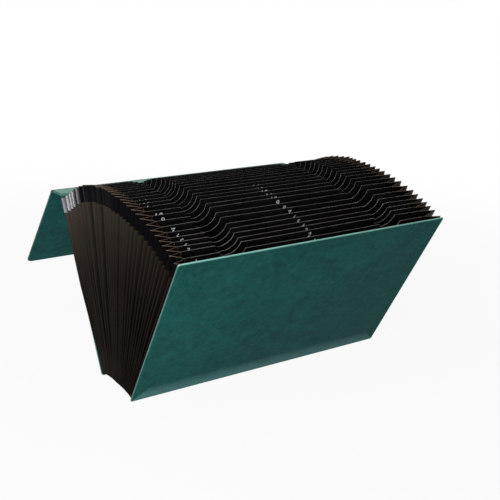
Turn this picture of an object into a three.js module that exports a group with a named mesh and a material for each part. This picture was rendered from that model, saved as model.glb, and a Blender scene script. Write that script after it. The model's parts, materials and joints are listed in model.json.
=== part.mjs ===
// Expanding file folder: two stiff covers fanned open on a pleated paper bellows with 31 pockets,
// and a closing flap that is hinged to the back cover through a narrow spine strip.
// Millimetres, +Z up. X runs along the covers, +Y points from the front cover to the flap.
import * as THREE from 'three';

// Covers and closing flap
const COVER_WIDTH = 380;
const COVER_HEIGHT = 240;
const BOARD_THICKNESS = 2.2;
const BOARD_CORNER_RADIUS = 3;
const BOARD_EDGE_ROUND = 0.6;
const STRIP_WIDTH = 34;
const FLAP_LENGTH = 174;
const FLAP_CORNER_RADIUS = 8;

// How far everything leans from upright, towards +Y
const FAN_HALF_ANGLE = THREE.MathUtils.degToRad(29);
const STRIP_LEAN = THREE.MathUtils.degToRad(93.2);
const FLAP_LEAN = THREE.MathUtils.degToRad(140.1);

// The covers and dividers all point at one fan line, this far under the lower cover edges
const FAN_RADIUS = 83.2;

// Creases in the cover material
const CREASE_BEAD_RADIUS = 1.1;
const CREASE_END_INSET = 1;

// Pleated bellows
const POCKETS = 31;
const PLEAT_DEPTH = 16.5;
const RIDGE_INSET = 1;
const RIDGE_CORNER_RADIUS = 6;
const VALLEY_CORNER_RADIUS = 3;
const CORNER_STEPS = 3;
const BELLOWS_PAPER = 0.4;
const FLANGE_WIDTH = 12;
const TOP_SETBACK = 7.4;

// Glossy tape round the outside of the bellows' upper edge
const TAPE_HEIGHT = 20;
const TAPE_THICKNESS = 0.2;
const TAPE_START_DEPTH = 5;

// Dividers and end sheets
const CARD_THICKNESS = 0.4;
const CARD_CORNER_RADIUS = 3.5;
const NOTCH_CENTRE_X = 113.5;
const NOTCH_RADIUS = 16.5;
const NOTCH_STEPS = 8;

// Loose sheets lean on each other in groups: two waves over the fan are added to the even spacing,
// each with its size as a share of the fan's half angle
const LEAN_WAVES = [
  { share: 0.051, turns: 2.96, start: 0.17 },
  { share: 0.042, turns: 3.45, start: 1.95 },
];

// Clearance between neighbouring pieces
const CLEARANCE = 0.3;

// Derived sizes
const HINGE_INSET = CREASE_BEAD_RADIUS + CLEARANCE;
const BELLOWS_BOTTOM_RADIUS = FAN_RADIUS + CLEARANCE;
const VALLEY_BOTTOM_RADIUS = BELLOWS_BOTTOM_RADIUS + PLEAT_DEPTH;
const RIDGE_HALF_WIDTH = COVER_WIDTH / 2 - RIDGE_INSET;
const VALLEY_HALF_WIDTH = RIDGE_HALF_WIDTH - PLEAT_DEPTH;
const TOP_RADIUS = FAN_RADIUS + COVER_HEIGHT - TOP_SETBACK;
const TAPE_BOTTOM_RADIUS = TOP_RADIUS - TAPE_HEIGHT;
const CREASE_RADIUS = FAN_RADIUS + COVER_HEIGHT;
const FLANGE_OFFSET = BOARD_THICKNESS / 2 + CLEARANCE + BELLOWS_PAPER / 2;
const END_SHEET_OFFSET = FLANGE_OFFSET + BELLOWS_PAPER / 2 + CLEARANCE + CARD_THICKNESS / 2;
const CARD_HALF_WIDTH = VALLEY_HALF_WIDTH - BELLOWS_PAPER / 2 - CLEARANCE;
const CARD_BOTTOM_RADIUS = VALLEY_BOTTOM_RADIUS + BELLOWS_PAPER / 2 + CLEARANCE;
const TAPE_OFFSET = BELLOWS_PAPER / 2 + CLEARANCE + TAPE_THICKNESS / 2;

function leaning(lean, distance) {
  return new THREE.Vector3(0, distance * Math.sin(lean), distance * Math.cos(lean));
}

const backCrease = leaning(FAN_HALF_ANGLE, CREASE_RADIUS);
const flapCrease = backCrease.clone().add(leaning(STRIP_LEAN, STRIP_WIDTH));

const leatherette = new THREE.MeshStandardMaterial({ color: 0x2a504c, roughness: 0.5, metalness: 0 });
const bellowsPaper = new THREE.MeshStandardMaterial({ color: 0x2b2320, roughness: 0.8, metalness: 0 });
const blackCard = new THREE.MeshStandardMaterial({ color: 0x141414, roughness: 0.75, metalness: 0 });
const glossyTape = new THREE.MeshStandardMaterial({ color: 0x0b0b0d, roughness: 0.18, metalness: 0 });

// Rectangle from bottom to top with rounded corners, centred on x = 0
function roundedRectangle(halfWidth, bottom, top, lowerRadius, upperRadius) {
  const shape = new THREE.Shape();
  shape.moveTo(lowerRadius - halfWidth, bottom);
  shape.lineTo(halfWidth - lowerRadius, bottom);
  shape.absarc(halfWidth - lowerRadius, bottom + lowerRadius, lowerRadius, -Math.PI / 2, 0);
  shape.lineTo(halfWidth, top - upperRadius);
  shape.absarc(halfWidth - upperRadius, top - upperRadius, upperRadius, 0, Math.PI / 2);
  shape.lineTo(upperRadius - halfWidth, top);
  shape.absarc(upperRadius - halfWidth, top - upperRadius, upperRadius, Math.PI / 2, Math.PI);
  shape.lineTo(-halfWidth, bottom + lowerRadius);
  shape.absarc(lowerRadius - halfWidth, bottom + lowerRadius, lowerRadius, Math.PI, 1.5 * Math.PI);
  return shape;
}

// Divider outline: open thumb notches in the upper edge leave three index stretches
function dividerOutline() {
  const shape = new THREE.Shape();
  const inset = CARD_CORNER_RADIUS;
  shape.moveTo(inset - CARD_HALF_WIDTH, CARD_BOTTOM_RADIUS);
  shape.lineTo(CARD_HALF_WIDTH - inset, CARD_BOTTOM_RADIUS);
  shape.absarc(CARD_HALF_WIDTH - inset, CARD_BOTTOM_RADIUS + inset, inset, -Math.PI / 2, 0);
  shape.lineTo(CARD_HALF_WIDTH, TOP_RADIUS);
  for (const centre of [NOTCH_CENTRE_X, -NOTCH_CENTRE_X]) {
    for (let step = 0; step <= NOTCH_STEPS; step += 1) {
      const turn = Math.PI * step / NOTCH_STEPS;
      shape.lineTo(centre + NOTCH_RADIUS * Math.cos(turn), TOP_RADIUS - NOTCH_RADIUS * Math.sin(turn));
    }
  }
  shape.lineTo(-CARD_HALF_WIDTH, TOP_RADIUS);
  shape.lineTo(-CARD_HALF_WIDTH, CARD_BOTTOM_RADIUS + inset);
  shape.absarc(inset - CARD_HALF_WIDTH, CARD_BOTTOM_RADIUS + inset, inset, Math.PI, 1.5 * Math.PI);
  return shape;
}

// Turns a shape drawn in x and distance into an upright plate centred on its own plane
function uprightPlate(shape, thickness, edgeRound = 0) {
  const options = { depth: thickness - 2 * edgeRound, curveSegments: 4, bevelEnabled: edgeRound > 0 };
  if (edgeRound > 0) {
    options.bevelThickness = edgeRound;
    options.bevelSize = edgeRound;
    options.bevelOffset = -edgeRound;
    options.bevelSegments = 2;
  }
  const geometry = new THREE.ExtrudeGeometry(shape, options);
  geometry.translate(0, 0, -options.depth / 2);
  geometry.rotateX(Math.PI / 2);
  return geometry;
}

function named(name, geometry, material) {
  const mesh = new THREE.Mesh(geometry, material);
  mesh.name = name;
  return mesh;
}

// Stands a mesh in a plane that leans from upright and passes through a point of the fan
function stand(mesh, lean, origin = new THREE.Vector3()) {
  mesh.position.copy(origin);
  mesh.rotation.x = -lean;
  return mesh;
}

function board(name, near, far, farCornerRadius) {
  const outline = roundedRectangle(COVER_WIDTH / 2, near, far, BOARD_CORNER_RADIUS, farCornerRadius);
  return named(name, uprightPlate(outline, BOARD_THICKNESS, BOARD_EDGE_ROUND), leatherette);
}

function creaseBead(name, place) {
  const length = COVER_WIDTH - 2 * CREASE_END_INSET;
  const geometry = new THREE.CylinderGeometry(CREASE_BEAD_RADIUS, CREASE_BEAD_RADIUS, length, 16);
  geometry.rotateZ(Math.PI / 2);
  const bead = named(name, geometry, leatherette);
  bead.position.copy(place);
  return bead;
}

// Lean of divider k from upright, k counted from the front; the wander dies out at the covers
function dividerLean(k) {
  const share = k / POCKETS;
  const fade = Math.sqrt(Math.sin(Math.PI * share));
  const wander = LEAN_WAVES.map((wave) => wave.share * Math.sin(2 * Math.PI * wave.turns * share + wave.start));
  return FAN_HALF_ANGLE * (2 * share - 1 + fade * (wander[0] + wander[1]));
}

// Lean of valley fold k: it follows its divider, and the end folds lie along the covers
function valleyLean(k, radius) {
  if (k === 0) {
    return Math.asin(FLANGE_OFFSET / radius) - FAN_HALF_ANGLE;
  }
  if (k === POCKETS) {
    return FAN_HALF_ANGLE - Math.asin(FLANGE_OFFSET / radius);
  }
  return dividerLean(k);
}

// Ridges are half way between two valleys, so any place on the paper has a fold number in between
function paperLean(fold, radius) {
  const before = Math.min(Math.floor(fold), POCKETS - 1);
  return THREE.MathUtils.lerp(valleyLean(before, radius), valleyLean(before + 1, radius), fold - before);
}

// Zigzag across the bellows, from the front cover to the back one
function pleatLine(firstFold, firstDepth) {
  const line = [{ fold: firstFold, depth: firstDepth }];
  for (let pocket = 1; pocket <= POCKETS; pocket += 1) {
    line.push({ fold: pocket - 0.5, depth: PLEAT_DEPTH });
    if (pocket < POCKETS) {
      line.push({ fold: pocket, depth: 0 });
    }
  }
  line.push({ fold: POCKETS - firstFold, depth: firstDepth });
  return line;
}

// Path of a fold down the left side, along the bottom and up the right side, as x and radius
function foldRun(halfWidth, bottom, cornerRadius) {
  const middle = (TAPE_BOTTOM_RADIUS + VALLEY_BOTTOM_RADIUS) / 2;
  const half = [[halfWidth, TOP_RADIUS], [halfWidth, TAPE_BOTTOM_RADIUS], [halfWidth, middle]];
  for (let step = 0; step <= CORNER_STEPS; step += 1) {
    const turn = Math.PI / 2 * step / CORNER_STEPS;
    const x = halfWidth - cornerRadius * (1 - Math.cos(turn));
    half.push([x, bottom + cornerRadius * (1 - Math.sin(turn))]);
  }
  const left = half.map(([x, radius]) => new THREE.Vector2(-x, radius));
  const right = half.map(([x, radius]) => new THREE.Vector2(x, radius)).reverse();
  return [...left, ...right];
}

// A station is one place along the run: the paper spreads from its valley point to its ridge point
function bellowsStations() {
  const valley = foldRun(VALLEY_HALF_WIDTH, VALLEY_BOTTOM_RADIUS, VALLEY_CORNER_RADIUS);
  const ridge = foldRun(RIDGE_HALF_WIDTH, BELLOWS_BOTTOM_RADIUS, RIDGE_CORNER_RADIUS);
  return valley.map((point, index) => ({ valley: point, ridge: ridge[index] }));
}

function atDepth(station, depth) {
  return new THREE.Vector2().lerpVectors(station.valley, station.ridge, depth / PLEAT_DEPTH);
}

// Moves the zigzag sideways by a distance: folds stay sharp inside and are blunt outside
function offsetLine(line, station, distance) {
  const scale = (station.valley.y + station.ridge.y) / 2;
  const flat = line.map(({ fold, depth }) => {
    return new THREE.Vector2(scale * paperLean(fold, atDepth(station, depth).y), depth);
  });
  const headings = flat.slice(1).map((point, index) => point.clone().sub(flat[index]).normalize());
  const normals = headings.map((heading) => new THREE.Vector2(-heading.y, heading.x));
  const points = [];
  line.forEach((place, index) => {
    const before = normals[Math.max(index - 1, 0)];
    const after = normals[Math.min(index, normals.length - 1)];
    const turn = before.cross(after);
    const sharp = before.dot(after) < 0;
    if (sharp && turn * distance < 0) {
      points.push({ place, shift: before.clone().multiplyScalar(distance) });
      points.push({ place, shift: after.clone().multiplyScalar(distance) });
      return;
    }
    const shift = before.clone().add(after).multiplyScalar(distance / (1 + before.dot(after)));
    points.push({ place, shift });
  });
  return points.map(({ place, shift }) => {
    const depth = place.depth + shift.y;
    const spot = atDepth(station, depth);
    const lean = paperLean(place.fold, spot.y) + shift.x / spot.y;
    return { flat: new THREE.Vector2(lean * scale, depth), x: spot.x, radius: spot.y, lean };
  });
}

// Closed skin round the zigzag at one station, between two distances from its middle line
function pleatRing(line, station, inner, outer) {
  return [...offsetLine(line, station, outer), ...offsetLine(line, station, inner).reverse()];
}

// Joins the rings of successive stations and closes both ends
function loftRings(rings) {
  const size = rings[0].length;
  const positions = rings.flat().flatMap(({ x, radius, lean }) => {
    return [x, radius * Math.sin(lean), radius * Math.cos(lean)];
  });
  const triangles = [];
  for (let ring = 0; ring + 1 < rings.length; ring += 1) {
    for (let corner = 0; corner < size; corner += 1) {
      const next = (corner + 1) % size;
      const a = ring * size + corner;
      const b = ring * size + next;
      const c = a + size;
      const d = b + size;
      // Both skins of a twisted facet are split along the same diagonal, so the paper keeps its thickness
      const split = corner < size / 2 ? [a, b, d, a, d, c] : [a, b, c, b, d, c];
      triangles.push(...split);
    }
  }
  addCap(triangles, rings[0], 0, true);
  addCap(triangles, rings.at(-1), (rings.length - 1) * size, false);
  const geometry = new THREE.BufferGeometry();
  geometry.setAttribute('position', new THREE.Float32BufferAttribute(positions, 3));
  geometry.setIndex(triangles);
  geometry.computeVertexNormals();
  return geometry;
}

function addCap(triangles, ring, offset, isFirst) {
  const contour = ring.map((point) => point.flat);
  const clockwise = THREE.ShapeUtils.isClockWise(contour);
  for (const [a, b, c] of THREE.ShapeUtils.triangulateShape(contour, [])) {
    const same = THREE.ShapeUtils.isClockWise([contour[a], contour[b], contour[c]]) === clockwise;
    const order = same === isFirst ? [c, b, a] : [a, b, c];
    triangles.push(...order.map((corner) => corner + offset));
  }
}

// One pleated paper strip round both sides and the bottom, glued to the covers by its end flanges
function bellows() {
  const line = pleatLine(0, 0);
  line.unshift({ fold: 0, depth: -FLANGE_WIDTH });
  line.push({ fold: POCKETS, depth: -FLANGE_WIDTH });
  const half = BELLOWS_PAPER / 2;
  const rings = bellowsStations().map((station) => pleatRing(line, station, -half, half));
  return named('bellows', loftRings(rings), bellowsPaper);
}

function topTape(name, stations) {
  const line = pleatLine(TAPE_START_DEPTH / PLEAT_DEPTH / 2, TAPE_START_DEPTH);
  const inner = TAPE_OFFSET - TAPE_THICKNESS / 2;
  const outer = TAPE_OFFSET + TAPE_THICKNESS / 2;
  const rings = stations.map((station) => pleatRing(line, station, inner, outer));
  return named(name, loftRings(rings), glossyTape);
}

function dividers() {
  const geometry = uprightPlate(dividerOutline(), CARD_THICKNESS);
  return Array.from({ length: POCKETS - 1 }, (_, index) => {
    const number = index + 1;
    const name = `divider_${String(number).padStart(2, '0')}`;
    return stand(named(name, geometry, blackCard), dividerLean(number));
  });
}

// Card glued inside a cover, over the bellows flange
function endSheet(name, lean, side) {
  const outline = roundedRectangle(CARD_HALF_WIDTH, CARD_BOTTOM_RADIUS, TOP_RADIUS, CARD_CORNER_RADIUS, 1);
  const geometry = uprightPlate(outline, CARD_THICKNESS);
  geometry.translate(0, side * END_SHEET_OFFSET, 0);
  return stand(named(name, geometry, blackCard), lean);
}

// The fan line is the X axis until the whole folder is set down at the end
const folder = new THREE.Group();

folder.add(stand(board('front_cover', FAN_RADIUS, CREASE_RADIUS, BOARD_CORNER_RADIUS), -FAN_HALF_ANGLE));
const backTop = CREASE_RADIUS - HINGE_INSET;
folder.add(stand(board('back_cover', FAN_RADIUS, backTop, BOARD_CORNER_RADIUS), FAN_HALF_ANGLE));
const strip = board('spine_strip', HINGE_INSET, STRIP_WIDTH - HINGE_INSET, BOARD_CORNER_RADIUS);
folder.add(stand(strip, STRIP_LEAN, backCrease));
const flap = board('closing_flap', HINGE_INSET, FLAP_LENGTH, FLAP_CORNER_RADIUS);
folder.add(stand(flap, FLAP_LEAN, flapCrease));
folder.add(creaseBead('back_crease_hinge', backCrease));
folder.add(creaseBead('flap_crease_hinge', flapCrease));

folder.add(bellows());
const stations = bellowsStations();
folder.add(topTape('left_top_tape', stations.slice(0, 2)));
folder.add(topTape('right_top_tape', stations.slice(-2)));
folder.add(endSheet('front_end_sheet', -FAN_HALF_ANGLE, 1));
folder.add(endSheet('back_end_sheet', FAN_HALF_ANGLE, -1));
folder.add(...dividers());

// It stands on the lower edges of its covers, with its middle over the origin
const extent = new THREE.Box3().setFromObject(folder, true);
folder.position.set(0, -(extent.min.y + extent.max.y) / 2, -extent.min.z);

export default folder;
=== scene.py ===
import json
import math
import random
from collections import namedtuple
from functools import partial

import bmesh
import bpy
from bpy.props import FloatProperty, FloatVectorProperty, IntProperty, PointerProperty
from bpy.types import Operator, Panel, PropertyGroup
from mathutils import Matrix, Vector


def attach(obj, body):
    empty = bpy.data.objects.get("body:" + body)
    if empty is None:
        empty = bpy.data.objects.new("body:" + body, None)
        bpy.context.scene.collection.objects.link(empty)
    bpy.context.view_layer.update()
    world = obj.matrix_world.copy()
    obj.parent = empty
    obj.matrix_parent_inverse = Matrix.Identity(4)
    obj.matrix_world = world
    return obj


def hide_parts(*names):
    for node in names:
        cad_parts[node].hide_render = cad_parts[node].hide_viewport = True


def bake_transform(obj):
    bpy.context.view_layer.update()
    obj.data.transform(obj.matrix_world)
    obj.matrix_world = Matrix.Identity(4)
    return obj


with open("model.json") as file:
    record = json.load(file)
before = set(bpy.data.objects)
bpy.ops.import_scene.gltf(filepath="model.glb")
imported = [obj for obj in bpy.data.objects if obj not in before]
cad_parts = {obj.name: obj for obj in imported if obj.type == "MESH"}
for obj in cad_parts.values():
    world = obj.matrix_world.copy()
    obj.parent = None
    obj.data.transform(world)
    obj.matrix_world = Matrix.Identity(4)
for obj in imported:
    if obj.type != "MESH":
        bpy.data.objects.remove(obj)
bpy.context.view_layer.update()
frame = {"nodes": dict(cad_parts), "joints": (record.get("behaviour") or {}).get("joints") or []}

bl_info = {
    "name": "Expanding file folder",
    "version": (1, 0, 0),
    "blender": (4, 5, 0),
    "location": "View3D > Sidebar > Folder",
    "description": "Builds the covers, pleated bellows and card dividers of a fanned expanding file",
    "category": "Object",
}

MM = 0.001
JOINTS = {joint["name"]: joint for joint in frame["joints"]}
BACK_CREASE = Vector(JOINTS["back_crease"]["pos_m"])
FLAP_CREASE = Vector(JOINTS["flap_crease"]["pos_m"])
STRIP_RUN = FLAP_CREASE - BACK_CREASE
STRIP_LEAN = math.atan2(STRIP_RUN.y, STRIP_RUN.z)
DIVIDERS = sorted(name for name in frame["nodes"] if name.startswith("divider_"))
POCKETS = len(DIVIDERS) + 1


# Sizes and colours


def length(name, description, default, **more):
    return FloatProperty(name=name, description=description, default=default, unit="LENGTH", **more)


def angle(name, description, default):
    return FloatProperty(name=name, description=description, default=math.radians(default), subtype="ANGLE")


def colour(name, description, default):
    return FloatVectorProperty(name=name, description=description, default=default, subtype="COLOR", size=3,
                               min=0.0, max=1.0)


class FolderCovers(PropertyGroup):
    width: length("Cover width", "Width of the covers, strip and flap", 380 * MM)
    height: length("Cover height", "Height of the covers along their faces", 240 * MM)
    thickness: length("Board thickness", "Thickness of a covered board", 2.2 * MM)
    corner: length("Corner radius", "Radius of the cover corners", 3 * MM)
    flap_corner: length("Flap corner radius", "Radius of the two free flap corners", 8 * MM)
    edge_round: length("Edge rounding", "Radius of the wrapped board edges", 0.95 * MM)
    flap_length: length("Flap length", "Length of the closing flap from its crease", 174 * MM)
    crease_gap: length("Crease gap", "Distance from a crease to the board beside it", 1.4 * MM)
    flap_lean: angle("Flap lean", "Lean of the flap from upright", 140.1)
    turn_in: length("Turn-in", "Width of leatherette folded over the inner edges", 12 * MM)
    leather: colour("Leatherette", "Outer colour of the leatherette", (0.0076, 0.066, 0.0595))
    # Painted paler than the leatherette: the light on the strip's upward face, painted into the colour.
    lining: colour("Lining", "Colour of the inner lining", (0.085, 0.26, 0.215))


class FolderFan(PropertyGroup):
    half_angle: angle("Fan half angle", "Lean of each cover from upright", 29)
    radius: length("Fan radius", "Distance from the fan line to the lower cover edges", 83.2 * MM)
    pleat_depth: length("Pleat depth", "Depth of the pleats from ridge to valley", 16.5 * MM)
    ridge_inset: length("Ridge inset", "How far the ridges stand in from the cover edges", 1 * MM)
    ridge_corner: length("Ridge corner radius", "Corner radius of the ridge folds", 6 * MM)
    valley_corner: length("Valley corner radius", "Corner radius of the valley folds", 3 * MM)
    paper: length("Bellows paper", "Thickness of the pleated paper", 0.4 * MM)
    flange: length("Flange width", "Width of the end flanges glued to the covers", 12 * MM)
    crown: length("Crown", "How much taller the sheets stand behind the middle of the fan", 6 * MM)
    ridge_lift: length("Ridge lift", "How far the ridges rise over the valleys at the top", 2.5 * MM)
    right_bulge: length("Right bulge", "How far the right ridges bulge past the left ones", 3.5 * MM)
    sag: length("Sag", "How far the bottom folds hang below their arc in the middle", 6 * MM)
    edge_cover: length("Edge cover", "How far the last ridges reach past the back cover", 4 * MM)
    setback: length("Top setback", "How far the sheets end below the cover tops", 7.4 * MM)
    clearance: length("Clearance", "Gap between neighbouring pieces", 0.3 * MM)
    tape_height: length("Tape height", "Height of the glossy tape band", 20 * MM)
    tape_thickness: length("Tape thickness", "Thickness of the glossy tape", 0.2 * MM)
    tape_start: length("Tape start depth", "Depth at which the tape starts on the first facet", 5 * MM)
    paper_colour: colour("Bellows colour", "Colour of the pleated paper", (0.0015, 0.00115, 0.0009))
    paper_edge: colour("Raw paper edge", "Colour of the cut upper paper edge", (0.11, 0.078, 0.06))
    tape_colour: colour("Tape colour", "Colour of the glossy tape", (0.0022, 0.0022, 0.0026))


class FolderSheets(PropertyGroup):
    thickness: length("Card thickness", "Thickness of the divider card", 0.4 * MM)
    corner: length("Card corner radius", "Radius of the lower divider corners", 3.5 * MM)
    notch_centre: length("Notch centre", "Distance of the thumb notches from the middle", 113.5 * MM)
    notch_radius: length("Notch radius", "Radius of the thumb notches", 16.5 * MM)
    bow: length("Bow", "Most that a divider bows out of its plane", 1.3 * MM)
    numeral_height: length("Numeral height", "Type size of the printed index numerals", 10.4 * MM)
    numeral_drop: length("Numeral drop", "Distance of the numerals' foot below the card edge", 11 * MM)
    numeral_places: FloatVectorProperty(
        name="Numeral places", description="Where the two numerals stand along X", default=(-0.158, 0.0),
        size=2, unit="LENGTH", precision=4)
    seed: IntProperty(name="Seed", description="Seed of the small irregularities", default=7)
    card: colour("Card", "Colour of the divider faces", (0.0038, 0.0038, 0.0039))
    card_edge: colour("Card edge", "Colour of the cut card edges", (0.2, 0.192, 0.182))
    print_ink: colour("Print", "Colour of the printed numerals", (0.95, 0.95, 0.93))


class FolderStage(PropertyGroup):
    lens: FloatProperty(name="Lens", description="Focal length in millimetres", default=63.63)
    camera_place: FloatVectorProperty(
        name="Camera place", description="Place of the camera from the fan line",
        default=(-0.6076, -0.9064, 0.58215), subtype="XYZ", unit="LENGTH", precision=5)
    camera_yaw: angle("Camera yaw", "Turn of the camera about the vertical", -34.03)
    camera_pitch: angle("Camera pitch", "How far the camera looks down", 18.19)
    camera_roll: angle("Camera roll", "Roll of the camera", 1.79)
    world_level: FloatProperty(name="World level", description="Strength of the plain light", default=0.14)
    floor: colour("Floor", "Colour of the floor", (0.5, 0.5, 0.5))


SETTINGS = {"covers": FolderCovers, "fan": FolderFan, "sheets": FolderSheets, "stage": FolderStage}


def settings(name):
    return getattr(bpy.context.scene, f"folder_{name}")


# Shader expressions


def maths(operation, reflected=False):
    """A method that joins a socket and another value through a Math node."""

    def join(self, other):
        first, second = (other, self) if reflected else (self, other)
        return self.graph.node("ShaderNodeMath", {"operation": operation}, {0: first, 1: second})

    return join


class Value:
    """A shader socket that takes part in Python arithmetic."""

    def __init__(self, graph, socket):
        self.graph = graph
        self.socket = socket

    __add__ = maths("ADD")
    __radd__ = maths("ADD", reflected=True)
    __sub__ = maths("SUBTRACT")
    __rsub__ = maths("SUBTRACT", reflected=True)
    __mul__ = maths("MULTIPLY")
    __rmul__ = maths("MULTIPLY", reflected=True)
    at_least = maths("MAXIMUM")
    at_most = maths("MINIMUM")

    def clamp(self):
        return self.at_least(0.0).at_most(1.0)

    def step(self, low, high):
        """0 below low, 1 above high and smooth in between."""
        return self.graph.node("ShaderNodeMapRange", {"interpolation_type": "SMOOTHSTEP"},
                               {"Value": self, "From Min": low, "From Max": high})


class Graph:
    """The node tree of a new material, or of the world if that is given."""

    def __init__(self, name, world=None):
        self.owner = world or bpy.data.materials.new(name)
        self.owner.use_nodes = True
        self.tree = self.owner.node_tree
        self.tree.nodes.clear()

    def node(self, kind, options=None, inputs=None, output=0):
        made = self.tree.nodes.new(kind)
        for option, value in (options or {}).items():
            setattr(made, option, value)
        for key, value in (inputs or {}).items():
            if isinstance(value, Value):
                self.tree.links.new(value.socket, made.inputs[key])
            else:
                made.inputs[key].default_value = value
        return Value(self, made.outputs[output]) if made.outputs else None

    def place(self, scale=(1.0, 1.0, 1.0)):
        spot = self.node("ShaderNodeTexCoord", output="Object")
        return self.node("ShaderNodeMapping", {}, {"Vector": spot, "Scale": scale})

    def noise(self, scale, detail=3.0, stretch=(1.0, 1.0, 1.0), roughness=0.55):
        inputs = {"Vector": self.place(stretch), "Scale": scale, "Detail": detail, "Roughness": roughness}
        return self.node("ShaderNodeTexNoise", {}, inputs)

    def cells(self, scale, smoothness):
        return self.node("ShaderNodeTexVoronoi", {"feature": "SMOOTH_F1"},
                         {"Vector": self.place(), "Scale": scale, "Smoothness": smoothness})

    def paint(self, name):
        """A value kept on the mesh, such as how near a point is to an edge."""
        return self.node("ShaderNodeAttribute", {"attribute_name": name}, output="Fac")

    def mix(self, amount, first, second):
        tones = [tone if isinstance(tone, Value) else (*tone, 1.0) for tone in (first, second)]
        return self.node("ShaderNodeMix", {"data_type": "RGBA"}, {0: amount, 6: tones[0], 7: tones[1]}, 2)

    def mottled(self, cloud, tone, low, high):
        """A tone that drifts between two strengths."""
        return self.mix(cloud.step(0.3, 0.7), scaled(tone, low), scaled(tone, high))

    def tint(self, amount, base, tone, factor):
        """The base with some of a stronger or weaker tone over it."""
        return self.mix(amount, base, scaled(tone, factor))

    def bump(self, height, strength, distance):
        inputs = {"Height": height, "Strength": strength, "Distance": distance}
        return self.node("ShaderNodeBump", {}, inputs)

    def surface(self, **inputs):
        named = {key.replace("_", " "): value for key, value in inputs.items()}
        return self.finish(self.node("ShaderNodeBsdfPrincipled", {}, named))

    def finish(self, shader, kind="Material"):
        self.node(f"ShaderNodeOutput{kind}", {}, {"Surface": shader})
        return self.owner


def scaled(tone, factor):
    return tuple(min(1.0, part * factor) for part in tone)


# Paler band along the lower cover edges: a painted sheen.
PAINTED_SHEEN_BAND = (9.0, 2.7, 2.9)
# Rims painted paler: edge wear together with a painted highlight.
WORN_AND_HIGHLIT_EDGE = (36.0, 8.2, 7.9)
# Pale tone on the tape's rear left folds: a painted reflection.
PAINTED_TAPE_REFLECTION = (0.025, 0.025, 0.033)


def leatherette(name, tone):
    """Embossed leatherette: pebbled grain over blotches and streaks, rims paler with wear and a painted
    highlight, a painted sheen by the lower edge.
    """
    graph = Graph(name)
    pebbles = graph.cells(950.0, 0.35)
    wrinkles = graph.noise(420.0, 4.0)
    cloud = graph.noise(11.0)
    blotches = graph.noise(46.0, 4.0, (0.7, 1.0, 1.0), 0.6)
    streaks = graph.noise(165.0, 5.0, (0.7, 1.0, 1.0), 0.68)
    specks = graph.noise(430.0)
    # Rim mask: edge wear together with a painted highlight, strongest on the upper edges.
    lightened = (graph.paint("edge_wear") * (0.7 + 0.6 * graph.noise(70.0))).clamp()
    band = graph.paint("rubbed_band") * (0.8 + 1.2 * streaks)
    base = graph.mottled(cloud, tone, 0.86, 1.14)
    base = graph.tint(blotches.step(0.5, 0.72) * 0.7, base, tone, 1.45)
    base = graph.tint((1.0 - blotches.step(0.3, 0.52)) * 0.6, base, tone, 0.62)
    base = graph.tint(streaks.step(0.42, 0.7) * 0.4, base, tone, 1.7)
    base = graph.tint((1.0 - streaks.step(0.3, 0.56)) * 0.35, base, tone, 0.55)
    base = graph.tint(specks.step(0.5, 0.7) * 0.4, base, tone, 1.6)
    base = graph.tint(pebbles.step(0.3, 0.75) * 0.35, base, tone, 0.62)
    sheen_tone, worn_and_highlit_tone = ([a * b for a, b in zip(tone, factors)] for factors in (PAINTED_SHEEN_BAND, WORN_AND_HIGHLIT_EDGE))
    # Painted sheen: paler along the lower edges of the covers.
    base = graph.mix(band.clamp() * 0.9, base, sheen_tone)
    # Rims painted paler: edge wear together with a painted highlight.
    worn_and_highlit = graph.mix(lightened * 0.8, base, worn_and_highlit_tone)
    normal = graph.bump((1.0 - pebbles) + wrinkles * 0.6, 0.35, 0.00018)
    rough = 0.44 + 0.14 * (streaks - 0.5) - 0.06 * lightened
    return graph.surface(Base_Color=worn_and_highlit, Roughness=rough, Normal=normal, Specular_IOR_Level=0.02)


def lining(name, tone):
    """Smooth lining paper glued over the inner faces, its green painted paler as painted light on the
    strip's upward face; rims paler with wear and a painted highlight.
    """
    graph = Graph(name)
    cloud = graph.noise(14.0)
    fibres = graph.noise(900.0, 3.0, (1.0, 0.25, 1.0))
    # Rims painted paler: edge wear together with a painted highlight.
    lightened = graph.paint("edge_wear")
    base = graph.tint(lightened * 0.4, graph.mottled(cloud, tone, 0.9, 1.12), tone, 1.5)
    normal = graph.bump(fibres, 0.2, 0.0001)
    rough = 0.45 + 0.1 * (fibres - 0.5)
    return graph.surface(Base_Color=base, Roughness=rough, Normal=normal, Specular_IOR_Level=0.25)


def bellows_paper(name, tone, edge_tone):
    """Dark calendered paper with a raw brown cut edge, browner at its ridges as worn folds with a painted
    highlight, and painted light and shade over the folds.
    """
    graph = Graph(name)
    fibres = graph.noise(700.0, 4.0, (1.0, 1.0, 0.2))
    cloud = graph.noise(24.0)
    ridge = graph.paint("ridge").step(0.9, 1.0)
    faded = graph.paint("faded")
    raw = graph.paint("raw_edge").step(0.05, 0.7)
    base = graph.mottled(cloud, tone, 0.8, 1.25)
    # Painted light: the paper painted far lighter towards the ridges, the top, the rear and the left side;
    # the recessed pockets stay dark as painted shade.
    base = graph.tint(faded * (0.6 + 0.5 * cloud), base, tone, 46.0)
    # Ridges painted browner: worn folds together with a painted highlight.
    base = graph.tint(ridge * (0.25 + 0.8 * cloud), base, tone, 10.0)
    base = graph.tint(fibres.step(0.55, 0.8) * 0.3, base, tone, 1.8)
    base = graph.mix(raw, base, graph.mix(fibres, scaled(edge_tone, 0.7), scaled(edge_tone, 1.3)))
    normal = graph.bump(fibres + cloud * 0.5, 0.25, 0.00012)
    rough = 0.48 + 0.25 * raw + 0.12 * (fibres - 0.5)
    return graph.surface(Base_Color=base, Roughness=rough, Normal=normal, Specular_IOR_Level=0.01)


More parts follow.
